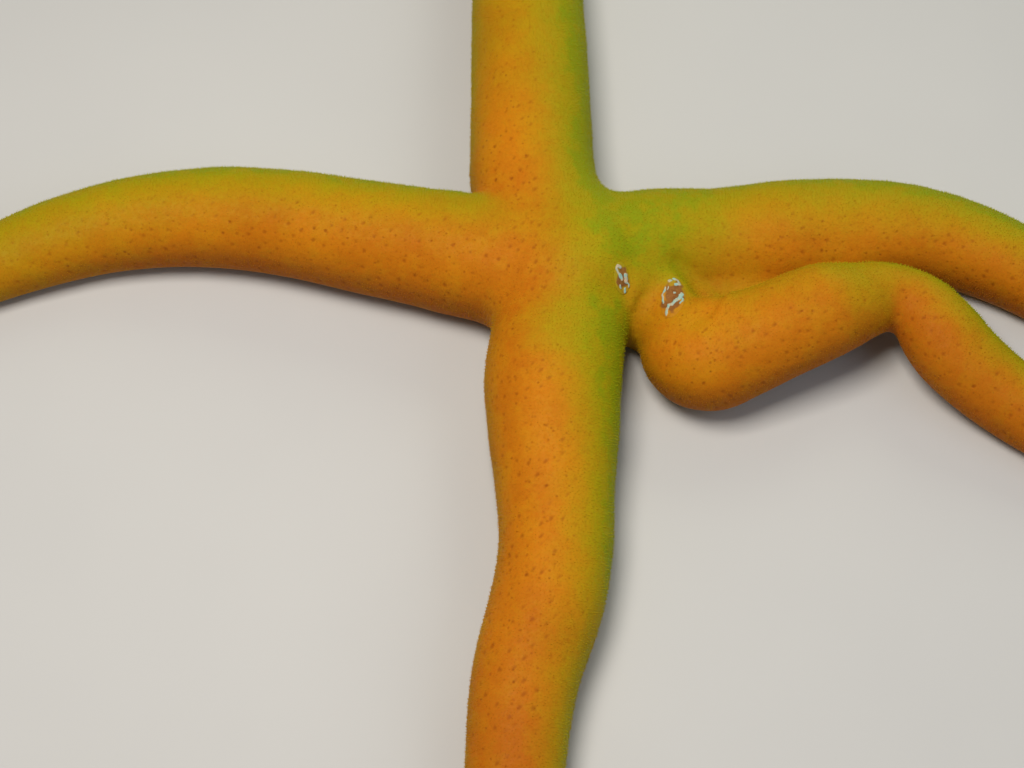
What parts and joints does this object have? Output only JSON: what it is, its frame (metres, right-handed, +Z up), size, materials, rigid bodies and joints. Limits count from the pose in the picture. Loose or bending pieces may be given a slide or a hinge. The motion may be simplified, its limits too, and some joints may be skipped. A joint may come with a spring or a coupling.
{
  "type": "starfish",
  "caption": "Life-size orange sea star with long round arms, lying flat with one arm bent sharply beside the disc.",
  "frame": {"origin": "middle of the bounding box, on the floor that the soles rest on", "axes": "+Z up from the floor, +Y towards the tip of the arm called back, +X towards the two right arms"},
  "size_m": [0.239, 0.2434, 0.019],
  "materials": {
    "skin": "soft matt orange skin with fine dark pores",
    "tip_skin": "soft matt orange skin, a little redder",
    "sieve_plate": "matt pale limy ridges over brown grooves"
  },
  "bodies": {
    "root": {"disc": "skin", "madreporite": "sieve_plate", "madreporite_second": "sieve_plate", "arm_back_base": "skin", "arm_back_middle": "skin", "arm_back_end": "skin", "arm_back_tip": "tip_skin", "arm_left_base": "skin", "arm_left_middle": "skin", "arm_left_end": "skin", "arm_left_tip": "tip_skin", "arm_front_base": "skin", "arm_front_middle": "skin", "arm_front_end": "skin", "arm_front_tip": "tip_skin", "arm_right_front_knee": "skin", "arm_right_front_base": "skin", "arm_right_front_middle": "skin", "arm_right_front_end": "skin", "arm_right_front_tip": "tip_skin", "arm_right_back_base": "skin", "arm_right_back_middle": "skin", "arm_right_back_end": "skin", "arm_right_back_tip": "tip_skin"}
  },
  "joints": []
}
